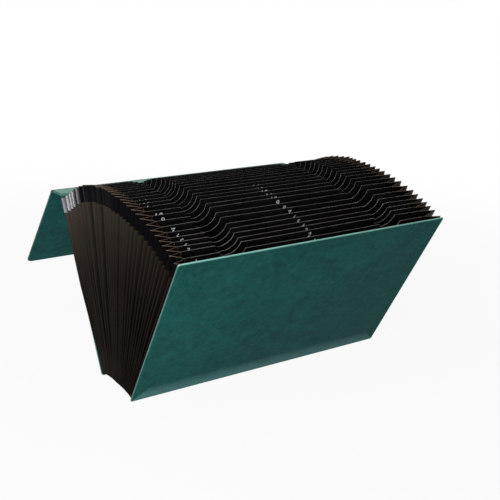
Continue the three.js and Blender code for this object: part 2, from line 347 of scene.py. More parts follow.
def glossy_tape(name, tone):
    """Glossy black tape pressed into the pleats, slightly wavy, with a coat on the rear left folds, which
    are also painted paler as a painted reflection.
    """
    graph = Graph(name)
    waves = graph.noise(110.0, 2.0, (1.0, 1.0, 0.45))
    specks = graph.noise(1600.0, 2.0)
    normal = graph.bump(waves, 0.07, 0.0006)
    base = graph.tint(specks.step(0.62, 0.8), tone, tone, 2.5)
    polish = graph.paint("polish")
    # Painted reflection: the coated rear left folds painted paler.
    base = graph.mix(polish * 0.8, base, PAINTED_TAPE_REFLECTION)
    rough = 0.2 + 0.08 * waves
    return graph.surface(Base_Color=base, Roughness=rough, Normal=normal, Specular_IOR_Level=0.01,
                         Coat_Weight=polish, Coat_Roughness=0.28)


def card(name, tone):
    """Black card with short pressed fibres."""
    graph = Graph(name)
    fibres = graph.noise(1100.0, 4.0, (0.35, 1.0, 1.0))
    base = graph.mottled(graph.noise(18.0), tone, 0.75, 1.4)
    base = graph.tint(fibres.step(0.6, 0.85) * 0.5, base, tone, 2.6)
    rough = 0.66 + 0.16 * (fibres - 0.5)
    normal = graph.bump(fibres, 0.22, 0.0001)
    return graph.surface(Base_Color=base, Roughness=rough, Normal=normal, Specular_IOR_Level=0.06)


def cut_edge(name, tone):
    """Grey core of the card, seen along its cut edges."""
    graph = Graph(name)
    fibres = graph.noise(1500.0, 4.0)
    base = graph.mottled(graph.noise(60.0), tone, 0.6, 1.3)
    base = graph.tint(fibres.step(0.5, 0.8) * 0.5, base, tone, 1.6)
    rough = 0.8 + 0.1 * (fibres - 0.5)
    normal = graph.bump(fibres, 0.3, 0.00008)
    return graph.surface(Base_Color=base, Roughness=rough, Normal=normal, Specular_IOR_Level=0.2)


def print_ink(name, tone):
    """White screen-printed ink, a little thin in places."""
    graph = Graph(name)
    patches = graph.noise(1300.0)
    base = graph.mix(patches.step(0.3, 0.6), scaled(tone, 0.8), tone)
    rough = 0.5 + 0.1 * (patches - 0.5)
    return graph.surface(Base_Color=base, Roughness=rough, Normal=graph.bump(patches, 0.15, 0.00005))


MAKERS = {
    "leatherette": (leatherette, "covers", ["leather"]),
    "lining": (lining, "covers", ["lining"]),
    "bellows_paper": (bellows_paper, "fan", ["paper_colour", "paper_edge"]),
    "glossy_tape": (glossy_tape, "fan", ["tape_colour"]),
    "black_card": (card, "sheets", ["card"]),
    "card_edge": (cut_edge, "sheets", ["card_edge"]),
    "print_ink": (print_ink, "sheets", ["print_ink"]),
}
FINISHES = {}


def finish(name):
    """Each finish is made once and shared by the pieces that have it."""
    if name not in FINISHES:
        make, group, tones = MAKERS[name]
        FINISHES[name] = make(name, *(tuple(getattr(settings(group), tone)) for tone in tones))
    return FINISHES[name]


# The planes that boards and sheets lie in


class Plane:
    """A plane through a line parallel to X, leaning from upright towards +Y."""

    def __init__(self, origin, lean):
        self.origin = origin
        self.along = Vector((0.0, math.sin(lean), math.cos(lean)))
        self.normal = Vector((0.0, math.cos(lean), -math.sin(lean)))

    def at(self, x, distance, height=0.0):
        return self.origin + Vector((x, 0.0, 0.0)) + self.along * distance + self.normal * height


def fan_line():
    fan, covers = settings("fan"), settings("covers")
    lean = fan.half_angle
    reach = fan.radius + covers.height
    return BACK_CREASE - reach * Vector((0.0, math.sin(lean), math.cos(lean)))


def sheet_top():
    """Distance of the upper sheet edges from the fan line at the ends of the fan."""
    return settings("fan").radius + settings("covers").height - settings("fan").setback


def half_width_of_covers():
    return settings("covers").width / 2


def divider_lean(name):
    """A divider lies in a plane through the fan line, so its middle gives its lean."""
    vertices = frame["nodes"][name].data.vertices
    middle = sum((vertex.co for vertex in vertices), Vector()) / len(vertices)
    spot = middle - fan_line()
    return math.atan2(spot.y, spot.z)


# Mesh helpers


def link(name, data):
    """A new object in the scene for a mesh, a text, a lamp or a camera."""
    made = bpy.data.objects.new(name, data)
    bpy.context.scene.collection.objects.link(made)
    return made


def solid(name, points, faces, finishes, smooth_angle=35.0, face_finish=None, paints=None):
    """Makes an object from points and faces, with its normals out and its folds kept crisp."""
    mesh = bpy.data.meshes.new(name)
    mesh.from_pydata([tuple(point) for point in points], [], faces)
    for value_name, values in (paints or {}).items():
        attribute = mesh.attributes.new(value_name, "FLOAT", "POINT")
        attribute.data.foreach_set("value", values)
    for item in finishes:
        mesh.materials.append(finish(item))
    if face_finish:
        mesh.polygons.foreach_set("material_index", face_finish)
    work = bmesh.new()
    work.from_mesh(mesh)
    bmesh.ops.recalc_face_normals(work, faces=work.faces)
    work.to_mesh(mesh)
    work.free()
    mesh.shade_smooth()
    mesh.set_sharp_from_angle(angle=math.radians(smooth_angle))
    piece = link(name, mesh)
    return piece


LEAST_RADIUS = 0.2 * MM


def rounded_outline(half_width, near, far, near_radius, far_radius, inset=0.0, steps=8):
    """Corner arcs of a rectangle in a plane, run anticlockwise and moved in by a distance."""
    corners = [
        (half_width, near, near_radius, -90.0, 1, -1),
        (half_width, far, far_radius, 0.0, 1, 1),
        (-half_width, far, far_radius, 90.0, -1, 1),
        (-half_width, near, near_radius, 180.0, -1, -1),
    ]
    points = []
    for x, y, radius, start, side_x, side_y in corners:
        reach = max(radius - inset, LEAST_RADIUS)
        centre_x = x - side_x * (inset + reach)
        centre_y = y - side_y * (inset + reach)
        for step in range(steps + 1):
            turn = math.radians(start + 90.0 * step / steps)
            facing = math.sin(turn)
            points.append((centre_x + reach * math.cos(turn), centre_y + reach * facing, facing))
    return points


# Rim mask on each side: edge wear all round, with a painted highlight added on the upper edges, which face
# the lamps, and on the lower edges.
SIDE_WEAR_AND_HIGHLIGHT = 0.22
TOP_WEAR_AND_HIGHLIGHT = 0.78
FOOT_WEAR_AND_HIGHLIGHT = 0.25


def layered(plane, outline, profile, lower_edge=None, band=0.0):
    """Points, faces and masks of a flat piece whose outline steps in along a profile: rim wear with a
    painted highlight, and a painted sheen by the lower edge.
    """
    points, wear_and_highlight, lightened = [], [], []
    for inset, height, worn_and_highlit in profile:
        for x, distance, facing in outline(inset):
            points.append(plane.at(x, distance, height))
            wear_and_highlight.append(worn_and_highlit * (SIDE_WEAR_AND_HIGHLIGHT + TOP_WEAR_AND_HIGHLIGHT * max(facing, 0.0) + FOOT_WEAR_AND_HIGHLIGHT * max(-facing, 0.0)))
            # Points near the lower edge carry the painted sheen.
            low = lower_edge is not None and distance < lower_edge + band and inset < band
            lightened.append(1.0 if low else 0.0)
    size = len(points) // len(profile)
    faces = [tuple(reversed(range(size))), tuple(range(len(points) - size, len(points)))]
    for ring in range(len(profile) - 1):
        for corner in range(size):
            following = (corner + 1) % size
            low, high = ring * size, (ring + 1) * size
            faces.append((low + corner, low + following, high + following, high + corner))
    return points, faces, {"edge_wear": wear_and_highlight, "rubbed_band": lightened}


RIM_STEPS = 6
RIM_END_WEAR_AND_HIGHLIGHT = 0.15
SHEEN_BAND_INSET = 24 * MM
WIDE_BOARD = 60 * MM


def rim_profile(half, edge_round):
    """Inset, height and rim mask (wear with a painted highlight) round a wrapped edge, from one face to the
    other.
    """
    profile = []
    for step in range(RIM_STEPS + 1):
        turn = math.pi * (step / RIM_STEPS - 0.5)
        worn_and_highlit = math.cos(turn) ** 0.5 if 0 < step < RIM_STEPS else RIM_END_WEAR_AND_HIGHLIGHT
        profile.append((edge_round * (1 - math.cos(turn)), half * math.sin(turn), worn_and_highlit))
    return profile


def covered_board(name, plane, near, far, radii, thickness, edge_round, band=False):
    """A board wrapped in leatherette, with round wrapped edges, a slightly worn rim under a painted
    highlight, and a painted sheen by its lower edge if asked.
    """
    half = thickness / 2
    half_width = half_width_of_covers()
    flat = 2 * edge_round
    profile = [(flat, -half, 0.0), *rim_profile(half, edge_round), (flat, half, 0.0)]
    # On wide boards a ring further in lets the painted sheen fade out above the lower edge.
    if far - near >= WIDE_BOARD:
        profile = [(SHEEN_BAND_INSET, -half, 0.0), *profile, (SHEEN_BAND_INSET, half, 0.0)]
    outline = partial(rounded_outline, half_width, near, far, *radii)
    points, faces, paints = layered(plane, outline, profile, near if band else None, flat + MM)
    return solid(name, points, faces, ["leatherette"], paints=paints)


FACING_THICKNESS = 0.2 * MM
LINING_THICKNESS = 0.18 * MM
PANEL_SHOULDER = 0.7
PANEL_BEVEL = 0.4
PANEL_WEAR_AND_HIGHLIGHT_WIDTH = 3 * MM
PANEL_START = 2.2
FACING_RISE = 3 * MM


def thin_panel(name, plane, near, far, radii, half_width, height, thickness, finish_name):
    """A thin glued sheet, raised from the board by its thickness, with softened rims carrying wear and a
    painted highlight.
    """
    face = height + thickness
    profile = [(0.0, height, 1.0), (0.0, height + PANEL_SHOULDER * thickness, 1.0),
               (PANEL_BEVEL * abs(thickness), face, 1.0),
               (PANEL_WEAR_AND_HIGHLIGHT_WIDTH, face, 0.0)]
    outline = partial(rounded_outline, half_width, near, far, *radii)
    points, faces, paints = layered(plane, outline, profile)
    return solid(name, points, faces, [finish_name], paints=paints)


def cover_planes():
    """Front cover, back cover, strip and flap, each with the side its lining is on."""
    fan, covers = settings("fan"), settings("covers")
    line = fan_line()
    return {
        "front": (Plane(line, -fan.half_angle), 1),
        "back": (Plane(line, fan.half_angle), -1),
        "strip": (Plane(BACK_CREASE, STRIP_LEAN), -1),
        "flap": (Plane(FLAP_CREASE, covers.flap_lean), -1),
    }


class FOLDER_OT_covers(Operator):
    """Build the two stiff covers that the folder stands on, with dark paper inside"""

    bl_idname = "folder.covers"
    bl_label = "Covers"

    def execute(self, context):
        covers, fan = settings("covers"), settings("fan")
        top = fan.radius + covers.height
        ends = {"front": top, "back": top - covers.crease_gap}
        for side, far in ends.items():
            plane, inner = cover_planes()[side]
            # The covers carry the painted sheen along their lower edges.
            piece = covered_board(f"{side}_cover_wrapped", plane, fan.radius, far, [covers.corner] * 2,
                                  covers.thickness, covers.edge_round, band=True)
            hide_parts(f"{side}_cover")
            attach(piece, "case")
            facing = thin_panel(f"{side}_cover_facing", plane, fan.radius + MM, sheet_top() + FACING_RISE,
                                (2 * MM, MM), half_width_of_covers() - MM, inner * covers.thickness / 2,
                                inner * FACING_THICKNESS, "bellows_paper")
            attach(facing, "case")
        return {"FINISHED"}


class FOLDER_OT_flap(Operator):
    """Build the spine strip and the closing flap with their linings"""

    bl_idname = "folder.flap"
    bl_label = "Strip and flap"

    def execute(self, context):
        covers = settings("covers")
        planes = cover_planes()
        gap, half = covers.crease_gap, half_width_of_covers()
        corner = covers.corner
        strip = covered_board("spine_strip_wrapped", planes["strip"][0], gap, STRIP_RUN.length - gap,
                              (corner, corner), covers.thickness, covers.edge_round)
        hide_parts("spine_strip")
        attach(strip, "strip")
        flap = covered_board("closing_flap_wrapped", planes["flap"][0], gap, covers.flap_length,
                             (corner, covers.flap_corner), covers.thickness, covers.edge_round)
        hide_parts("closing_flap")
        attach(flap, "flap")
        edge, near = covers.turn_in, PANEL_START * gap
        panels = (
            ("strip", STRIP_RUN.length - near, (MM, MM), half - edge / 6),
            ("flap", covers.flap_length - edge, (MM, corner), half - edge / 3),
        )
        for body, far, radii, width in panels:
            panel = thin_panel(f"{body}_lining", planes[body][0], near, far, radii, width,
                               -covers.thickness / 2, -LINING_THICKNESS, "lining")
            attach(panel, body)
        return {"FINISHED"}


CREASE_SHARES = (1.0, 0.75, 0.5, 0.32)
CREASE_REACH = 7 * MM
CREASE_TURN = 1.6 * MM
CREASE_STEPS = 10
CREASE_WEAR = 0.25
SKIN_COLUMNS = 24
SKIN_INSET = 0.35 * MM
SKIN_LIFT = 0.16 * MM
SKIN_THICKNESS = 0.22 * MM
END_LIFT = 0.05 * MM
ROOT_LIFT = 0.13 * MM
CORNER_LIFT = 0.15 * MM


def slab_faces(columns, rows, base=0):
    """Faces of a closed slab made of two grids of points: those of its sheets, and of its rims."""
    count = rows + 1
    layer = (columns + 1) * count
    sheets, rims = [], []
    for column in range(columns):
        for row in range(rows):
            a = base + column * count + row
            sheets.append((a, a + 1, a + count + 1, a + count))
            sheets.append((a + layer, a + count + layer, a + count + 1 + layer, a + 1 + layer))
    for column in range(columns):
        for row in (0, rows):
            a = base + column * count + row
            rims.append((a, a + count, a + count + layer, a + layer))
    for row in range(rows):
        for column in (0, columns):
            a = base + column * count + row
            rims.append((a, a + 1, a + 1 + layer, a + layer))
    return sheets, rims


def crease_section(crease, normals, runs, half):
    """Spots along one side of a crease in section, each with its distance from the crease."""
    raised = half + SKIN_LIFT
    first, last = (crease + run * CREASE_TURN + normal * raised for run, normal in zip(runs, normals))
    bisector = (normals[0] + normals[1]).normalized()
    corner = crease + bisector * (half + CORNER_LIFT) / bisector.dot(normals[0])
    hollow = normals[0].dot(runs[1]) > 0

    def beside(end, share):
        lift = END_LIFT + ROOT_LIFT * (1 - share)
        return crease + runs[end] * CREASE_REACH * share + normals[end] * (half + lift), share

    samples = [beside(0, share) for share in CREASE_SHARES]
    for step in range(CREASE_STEPS + 1):
        t = step / CREASE_STEPS
        if hollow:
            spot = first * (1 - t) ** 2 + corner * 2 * t * (1 - t) + last * t * t
        else:
            spot = crease + (normals[0] * (1 - t) + normals[1] * t).normalized() * raised
        samples.append((spot, 0.0))
    return samples + [beside(1, share) for share in reversed(CREASE_SHARES)]


def crease_skin(name, crease, before, after, node):
    """Leatherette that runs through a crease: an outer and an inner sheet bent round the crease as it
    stands.
    """
    covers = settings("covers")
    runs = (-before.along, after.along)
    half_width = half_width_of_covers() - SKIN_INSET
    points, faces, wear_and_highlight = [], [], []
    for side in (1, -1):
        normals = (before.normal * side, after.normal * side)
        samples = crease_section(crease, normals, runs, covers.thickness / 2)
        sheets, rims = slab_faces(SKIN_COLUMNS, len(samples) - 1, len(points))
        faces += sheets + rims
        for depth in (0.0, SKIN_THICKNESS):
            for column in range(SKIN_COLUMNS + 1):
                across = Vector((half_width * (2 * column / SKIN_COLUMNS - 1), 0.0, 0.0))
                for spot, share in samples:
                    points.append(across + spot + (crease - spot).normalized() * depth)
                    # The outer bend of the crease gets a little of the rim mask: edge wear with a painted
                    # highlight.
                    wear_and_highlight.append(0.0 if share or depth else CREASE_WEAR)
    skin = solid(name, points, faces, ["leatherette"], 60.0, paints={"edge_wear": wear_and_highlight})
    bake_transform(skin)
    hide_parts(node)
    return skin


class FOLDER_OT_creases(Operator):
    """Build the leatherette that bends at the two creases"""

    bl_idname = "folder.creases"
    bl_label = "Creases"

    def execute(self, context):
        planes = cover_planes()
        back, strip, flap = (planes[name][0] for name in ("back", "strip", "flap"))
        crease_skin("back_crease_skin", BACK_CREASE, back, strip, "back_crease_hinge")
        crease_skin("flap_crease_skin", FLAP_CREASE, strip, flap, "flap_crease_hinge")
        return {"FINISHED"}


# Pleated bellows

Place = namedtuple("Place", "pocket part depth fold push")
FACET_SHARES = (0.0, 0.33, 0.67)
PUSH_RANGE = (-1.0, 0.15)
SHIFT_RANGE = (-0.14, 0.14)
BOW_RANGE = (0.03, 0.12)
PUSH_RISE = 2.2
SAG_POWER = 1.5
RECESSED_POCKETS = (19, 22)
RECESS = 3.5 * MM
REAR_PUSHES = (1.0, 0.62, 0.35, 0.18)
REAR_SHIFT = 0.02
NEXT_SHIFTS = (-0.26, -0.05, -0.28, -0.2)
# Coat and painted reflection of the rearmost pockets, counted from the back.
POLISH_AND_REFLECTION = (1.0, 1.0, 1.0, 1.0, 0.1, 0.45, 0.0, 0.1, 0.0)
# Painted light on the bellows paper: least in the valleys, on the right side and at the front, and falling
# off faster in the recessed pockets as painted shade.
VALLEY_PAINTED_LIGHT = 0.1
VALLEY_FALL = 2
GAP_PAINTED_SHADE_FALL = 8
RIGHT_PAINTED_LIGHT = 0.1
FRONT_PAINTED_LIGHT = 0.15
RAW_EDGE = 0.8 * MM


def crown(position):
    """How much taller than the front and rear ones the sheets stand at a place in the fan."""
    share = (position / POCKETS) ** 2
    return settings("fan").crown * math.sin(math.pi * share) ** 2


class Pleats:
    """The zigzag of the bellows: where its paper runs at each fold and at each place along the U."""

    def __init__(self):
        fan, covers = settings("fan"), settings("covers")
        self.fan = fan
        self.line = fan_line()
        self.depth = fan.pleat_depth
        self.half_angle = fan.half_angle
        self.flange_offset = covers.thickness / 2 + fan.clearance + fan.paper / 2
        self.ridge_bottom = fan.radius + fan.clearance
        self.valley_bottom = self.ridge_bottom + self.depth
        self.ridge_half = covers.width / 2 - fan.ridge_inset
        self.valley_half = self.ridge_half - self.depth
        self.top = sheet_top()
        self.leans = [0.0] + [divider_lean(name) for name in DIVIDERS] + [0.0]
        rng = random.Random(settings("sheets").seed)
        self.ridge_push = [rng.uniform(*PUSH_RANGE) * MM for _ in range(POCKETS)]
        self.ridge_shift = [rng.uniform(*SHIFT_RANGE) for _ in range(POCKETS)]
        for pocket in RECESSED_POCKETS:
            self.ridge_push[pocket] = -RECESS
        for back, share in enumerate(REAR_PUSHES):
            self.ridge_push[POCKETS - 1 - back] = share * fan.edge_cover
            self.ridge_shift[POCKETS - 1 - back] = REAR_SHIFT
        for back, shift in enumerate(NEXT_SHIFTS, len(REAR_PUSHES)):
            self.ridge_shift[POCKETS - 1 - back] = shift
        self.bows = [rng.uniform(*BOW_RANGE) for _ in range(2 * POCKETS)]

    def valley_lean(self, k, radius):
        if k == 0:
            return math.asin(self.flange_offset / radius) - self.half_angle
        if k == POCKETS:
            return self.half_angle - math.asin(self.flange_offset / radius)
        return self.leans[k]

    def facet(self, index, share):
        """A point on facet number index: share 0 is at its front fold and 1 at its back fold."""
        pocket = index // 2
        rising = index % 2 == 0
        across = share if rising else 1 - share
        middle = 0.5 + self.ridge_shift[pocket]
        part = middle * across if rising else 1 - (1 - middle) * across
        bow = self.bows[index] * math.sin(math.pi * share) * (1 if rising else -1)
        part += bow * min(middle, 1 - middle)
        push = self.ridge_push[pocket] * across ** 2
        return pocket, part, self.depth * across, push

    def lean(self, pocket, part, radius):
        low = self.valley_lean(pocket, radius)
        high = self.valley_lean(pocket + 1, radius)
        return low + (high - low) * part

    def zigzag(self, first_depth=0.0, flange=0.0):
        """Places on the paper from the front cover to the back cover."""
        places = []
        for index in range(2 * POCKETS):
            for share in FACET_SHARES:
                pocket, part, depth, push = self.facet(index, share)
                places.append(Place(pocket, part, depth, share == 0.0 and index > 0, push))
        last = POCKETS - 1
        places.append(Place(last, 1.0, 0.0, False, 0.0))
        if first_depth:
            while places[0].depth < first_depth:
                places.pop(0)
            while places[-1].depth < first_depth:
                places.pop()
            across = 0.5 * first_depth / self.depth
            places.insert(0, Place(0, across, first_depth, False, 0.0))
            push = self.ridge_push[last] * across
            places.append(Place(last, 1 - across, first_depth, False, push))
        if flange:
            places.insert(0, Place(0, 0.0, -flange, False, 0.0))
            places.append(Place(last, 1.0, -flange, False, 0.0))
        return places

    def run(self, half_width, bottom, corner, sides, bend, base):
        """Half of a fold's path as x and radius, from the top down to the middle of the bottom."""
        tape_end = self.top - self.fan.tape_height
        heights = (self.top, self.top - RAW_EDGE, (self.top + tape_end) / 2, tape_end)
        path = [(half_width, height) for height in heights]
        low = self.valley_bottom + self.fan.valley_corner
        for step in range(1, sides + 1):
            share = step / (sides + 1)
            path.append((half_width, tape_end + (low - tape_end) * share))
        for step in range(bend + 1):
            turn = math.pi / 2 * step / bend
            path.append((half_width - corner * (1 - math.cos(turn)), bottom + corner * (1 - math.sin(turn))))
        for step in range(1, base + 1):
            path.append(((half_width - corner) * (1 - step / base), bottom))
        return path

    def stations(self, sides=9, bend=6, base=4):
        fan = self.fan
        valley = self.run(self.valley_half, self.valley_bottom, fan.valley_corner, sides, bend, base)
        halves = []
        for bulge in (0.0, fan.right_bulge):
            ridge = self.run(self.ridge_half, self.ridge_bottom, fan.ridge_corner, sides, bend, base)
            high = len(ridge) - bend - base - 1
            ridge = [(x + bulge * max(0.0, 1 - row / high), y) for row, (x, y) in enumerate(ridge)]
            halves.append(list(zip(valley, ridge)))
        left = [((-a, b), (-c, d)) for (a, b), (c, d) in halves[0]]
        return left + halves[1][-2::-1]

    def spot(self, station, depth):
        (x0, r0), (x1, r1) = station
        share = depth / self.depth
        return x0 + (x1 - x0) * share, r0 + (r1 - r0) * share

    def offset(self, places, station, distance):
        """The zigzag moved sideways: folds stay sharp on their inside and are rounded outside."""
        scale = (station[0][1] + station[1][1]) / 2
        flat = []
        for pocket, part, depth, _, push in places:
            radius = self.spot(station, depth)[1]
            flat.append(Vector((scale * self.lean(pocket, part, radius), depth + push)))
        headings = [(b - a).normalized() for a, b in zip(flat, flat[1:])]
        normals = [Vector((-h.y, h.x)) for h in headings]
        groups = []
        for index, place in enumerate(places):
            before = normals[max(index - 1, 0)]
            after = normals[min(index, len(normals) - 1)]
            turn = before.x * after.y - before.y * after.x
            if place.fold and turn * distance < 0:
                middle = Vector((0.0, math.copysign(abs(distance), distance)))
                shifts = [before * distance, middle, after * distance]
            else:
                shifts = [(before + after) * (distance / (1 + before.dot(after)))]
            groups.append([self.point(station, place, shift) for shift in shifts])
        return groups

    def point(self, station, place, shift):
        pocket, part, depth, _, push = place
        x, radius = self.spot(station, depth + shift.y)
        lean = self.lean(pocket, part, radius) + shift.x / radius
        up = min(max((radius - self.valley_bottom) / (self.top - self.valley_bottom), 0.0), 1.0)
        x += math.copysign(push * min(1.0, PUSH_RISE * up), x)
        radius -= (1 - up) ** 2 * self.fan.sag * math.sin(math.pi * (pocket + part) / POCKETS) ** SAG_POWER
        radius += up * (crown(pocket + part) + self.fan.ridge_lift * max(depth, 0.0) / self.depth)
        return self.line + Vector((x, radius * math.sin(lean), radius * math.cos(lean)))


def fold_paints(pleats, station, place):
    """How near a ridge the fold is, its painted light, and its polish with a painted reflection, at a place
    along one station.
    """
    x, radius = station[0]
    low, high = pleats.valley_bottom, pleats.top
    up = min(max((radius - low) / (high - low), 0.0), 1.0)
    depth = place.depth / pleats.depth
    # The recessed pockets lose their painted light faster: painted shade.
    fall = GAP_PAINTED_SHADE_FALL if place.pocket in RECESSED_POCKETS else VALLEY_FALL
    faded = VALLEY_PAINTED_LIGHT + (1 - VALLEY_PAINTED_LIGHT) * max(depth, 0.0) ** fall
    # Painted light grows towards the top and the rear.
    faded *= up ** 3 * (FRONT_PAINTED_LIGHT + (1 - FRONT_PAINTED_LIGHT) * (place.pocket + place.part) / POCKETS)
    # Coat and painted reflection, by pocket from the back.
    shine = POLISH_AND_REFLECTION[min(POCKETS - 1 - place.pocket, len(POLISH_AND_REFLECTION) - 1)]
    # The left side gets the painted light in full and the coat with its painted reflection; the right side
    # gets little painted light.
    left = x < 0
    return {"ridge": depth, "faded": faded * (1.0 if left else RIGHT_PAINTED_LIGHT), "polish": shine if left else 0.0}


def pleated_band(name, pleats, places, stations, inner, outer, finish_name):
    """A closed pleated solid between two distances from the middle of the paper."""
    points = []
    paints = {value: [] for value in ("ridge", "faded", "polish", "raw_edge")}
    spans = []
    for number, station in enumerate(stations):
        raw = 1.0 if number in (0, len(stations) - 1) else 0.0
        span = []
        for distance in (outer, inner):
            ring = []
            for place, group in zip(places, pleats.offset(places, station, distance)):
                for value, amount in {**fold_paints(pleats, station, place), "raw_edge": raw}.items():
                    paints[value] += [amount] * len(group)
                ring.append(list(range(len(points), len(points) + len(group))))
                points += group
            span.append(ring)
        spans.append(span)
    faces = []
    for (outer_a, inner_a), (outer_b, inner_b) in zip(spans, spans[1:]):
        for side_a, side_b in ((outer_a, outer_b), (inner_a, inner_b)):
            a, b = sum(side_a, []), sum(side_b, [])
            for i in range(len(a) - 1):
                faces.append((a[i], a[i + 1], b[i + 1], b[i]))
        for end in (0, -1):
            faces.append((outer_a[end][end], outer_b[end][end], inner_b[end][end], inner_a[end][end]))
    for outer_ring, inner_ring in (spans[0], spans[-1]):
        for i in range(len(places)):
            rim = outer_ring[i] + inner_ring[i][::-1]
            if len(rim) > 2:
                faces.append(tuple(rim))
            if i + 1 < len(places):
                following = (outer_ring[i + 1][0], inner_ring[i + 1][0])
                faces.append((outer_ring[i][-1], *following, inner_ring[i][-1]))
    return solid(name, points, faces, [finish_name], 50.0, paints=paints)


class FOLDER_OT_bellows(Operator):
    """Build the pleated paper strip round both sides and the bottom"""

    bl_idname = "folder.bellows"
    bl_label = "Bellows"

    def execute(self, context):
        pleats = Pleats()
        fan = settings("fan")
        places = pleats.zigzag(flange=fan.flange)
        half = fan.paper / 2
        piece = pleated_band("bellows_pleated", pleats, places, pleats.stations(), -half, half,
                             "bellows_paper")
        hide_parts("bellows")
        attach(piece, "case")
        return {"FINISHED"}


TAPE_GAP = 0.12 * MM


class FOLDER_OT_tapes(Operator):
    """Build the glossy tape round the upper edge of both sides"""

    bl_idname = "folder.tapes"
    bl_label = "Top tapes"

    def execute(self, context):
        pleats = Pleats()
        fan = settings("fan")
        places = pleats.zigzag(first_depth=fan.tape_start)
        inner = fan.paper / 2 + TAPE_GAP
        outer = inner + fan.tape_thickness
        stations = pleats.stations()
        ends = {"left_top_tape": stations[1:4], "right_top_tape": stations[-4:-1]}
        for node, part in ends.items():
            piece = pleated_band(f"{node}_glossy", pleats, places, part, inner, outer, "glossy_tape")
            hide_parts(node)
            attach(piece, "case")
        return {"FINISHED"}


# Dividers

SHEET_BOW_RANGE = (0.25, 1.0)
SHEET_TURN_RANGE = (0.6, 1.5)
SHEET_TILT_RANGE = (-0.6, 0.6)
SIDE_HOLD = 6
FOOT_HOLD = 1.5


class SheetBow:
    """How one card bows out of its plane: fixed at the sides and bottom, free at the top."""

    def __init__(self, number):
        sheets = settings("sheets")
        rng = random.Random(sheets.seed * 1000 + number)
        self.size = sheets.bow * rng.uniform(*SHEET_BOW_RANGE)
        self.turns = rng.uniform(*SHEET_TURN_RANGE)
        self.start = rng.uniform(0.0, 2 * math.pi)
        self.tilt = sheets.bow * rng.uniform(*SHEET_TILT_RANGE)

    def at(self, across, up):
        """Height over the plane, with across from -1 to 1 and up from 0 to 1."""
        held = 1 - abs(across) ** SIDE_HOLD
        wave = self.size * math.sin(self.turns * math.pi * across + self.start)
        return held * up ** FOOT_HOLD * (wave + self.tilt)


SHEET_SPANS = 12
CORNER_SPANS = 4
NOTCH_SPANS = 20
NOTCH_MARGIN = 1.02


def sheet_columns(half_width, notches):
    """x places of the columns, close together round the thumb notches."""
    sheets = settings("sheets")
    places = set()
    for step in range(SHEET_SPANS + 1):
        places.add(round(half_width * (2 * step / SHEET_SPANS - 1), 6))
    for step in range(1, CORNER_SPANS + 1):
        inset = sheets.corner * (1 - math.sin(math.pi / 2 * step / CORNER_SPANS))
        places.update((round(half_width - inset, 6), round(inset - half_width, 6)))
    if notches:
        radius = sheets.notch_radius
        for centre in (-sheets.notch_centre, sheets.notch_centre):
            places = {x for x in places if abs(x - centre) > radius * NOTCH_MARGIN}
            for step in range(NOTCH_SPANS + 1):
                places.add(round(centre - radius * math.cos(math.pi * step / NOTCH_SPANS), 6))
    return sorted(places)


def card_sheet(name, plane, height, notches, bow, rise=0.0, rows=9):
    """A card sheet in its plane as a closed solid, with its cut edges in grey."""
    sheets, fan, covers = settings("sheets"), settings("fan"), settings("covers")
    half_width = covers.width / 2 - fan.ridge_inset - fan.pleat_depth - fan.paper / 2 - fan.clearance
    bottom = fan.radius + fan.clearance + fan.pleat_depth + fan.paper / 2 + fan.clearance
    top = sheet_top() + rise
    corner, half = sheets.corner, sheets.thickness / 2
    columns = sheet_columns(half_width, notches)

    def upper(x):
        cut = 0.0
        if notches:
            for centre in (-sheets.notch_centre, sheets.notch_centre):
                cut = max(cut, math.sqrt(max(sheets.notch_radius ** 2 - (x - centre) ** 2, 0.0)))
        return top - cut

    def lower(x):
        inset = max(abs(x) - (half_width - corner), 0.0)
        return bottom + corner - math.sqrt(max(corner ** 2 - inset ** 2, 0.0))

    points = []
    for side in (-1, 1):
        for x in columns:
            for row in range(rows + 1):
                distance = lower(x) + (upper(x) - lower(x)) * row / rows
                lift = bow.at(x / half_width, (distance - bottom) / (top - bottom)) if bow else 0.0
                points.append(plane.at(x, distance, height + lift + side * half))
    faces, rims = slab_faces(len(columns) - 1, rows)
    face_finish = [0] * len(faces) + [1] * len(rims)
    return solid(name, points, faces + rims, ["black_card", "card_edge"], 40.0, face_finish)


class FOLDER_OT_dividers(Operator):
    """Build the notched card dividers and the plain sheets inside the covers"""

    bl_idname = "folder.dividers"
    bl_label = "Dividers"

    def execute(self, context):
        fan, covers, sheets = settings("fan"), settings("covers"), settings("sheets")
        line = fan_line()
        for number, node in enumerate(DIVIDERS, 1):
            plane = Plane(line, divider_lean(node))
            piece = card_sheet(f"{node}_card", plane, 0.0, True, SheetBow(number), crown(number))
            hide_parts(node)
            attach(piece, "case")
        offset = covers.thickness / 2 + 2 * fan.clearance + fan.paper + sheets.thickness / 2
        for end in ("front", "back"):
            plane, inner = cover_planes()[end]
            piece = card_sheet(f"{end}_end_sheet_card", plane, inner * offset, False, None)
            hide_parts(f"{end}_end_sheet")
            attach(piece, "case")
        return {"FINISHED"}


PRINT_LIFT = 0.04 * MM
PRINT_DEPTH = 0.02 * MM
STROKE_SPREAD = 0.12 * MM
LETTER_SPACING = 1.15


def numeral_mesh(text, height):
    """A flat printed numeral, built from Blender's own plain type."""
    curve = bpy.data.curves.new("numeral", "FONT")
    curve.body = text
    curve.size = height
    curve.align_x = "CENTER"
    curve.resolution_u = 3
    curve.offset = STROKE_SPREAD
    curve.space_character = LETTER_SPACING
    curve.extrude = PRINT_DEPTH
    holder = link("numeral", curve)
    graph = bpy.context.evaluated_depsgraph_get()
    mesh = bpy.data.meshes.new_from_object(holder.evaluated_get(graph))
    bpy.data.objects.remove(holder)
    bpy.data.curves.remove(curve)
    return mesh


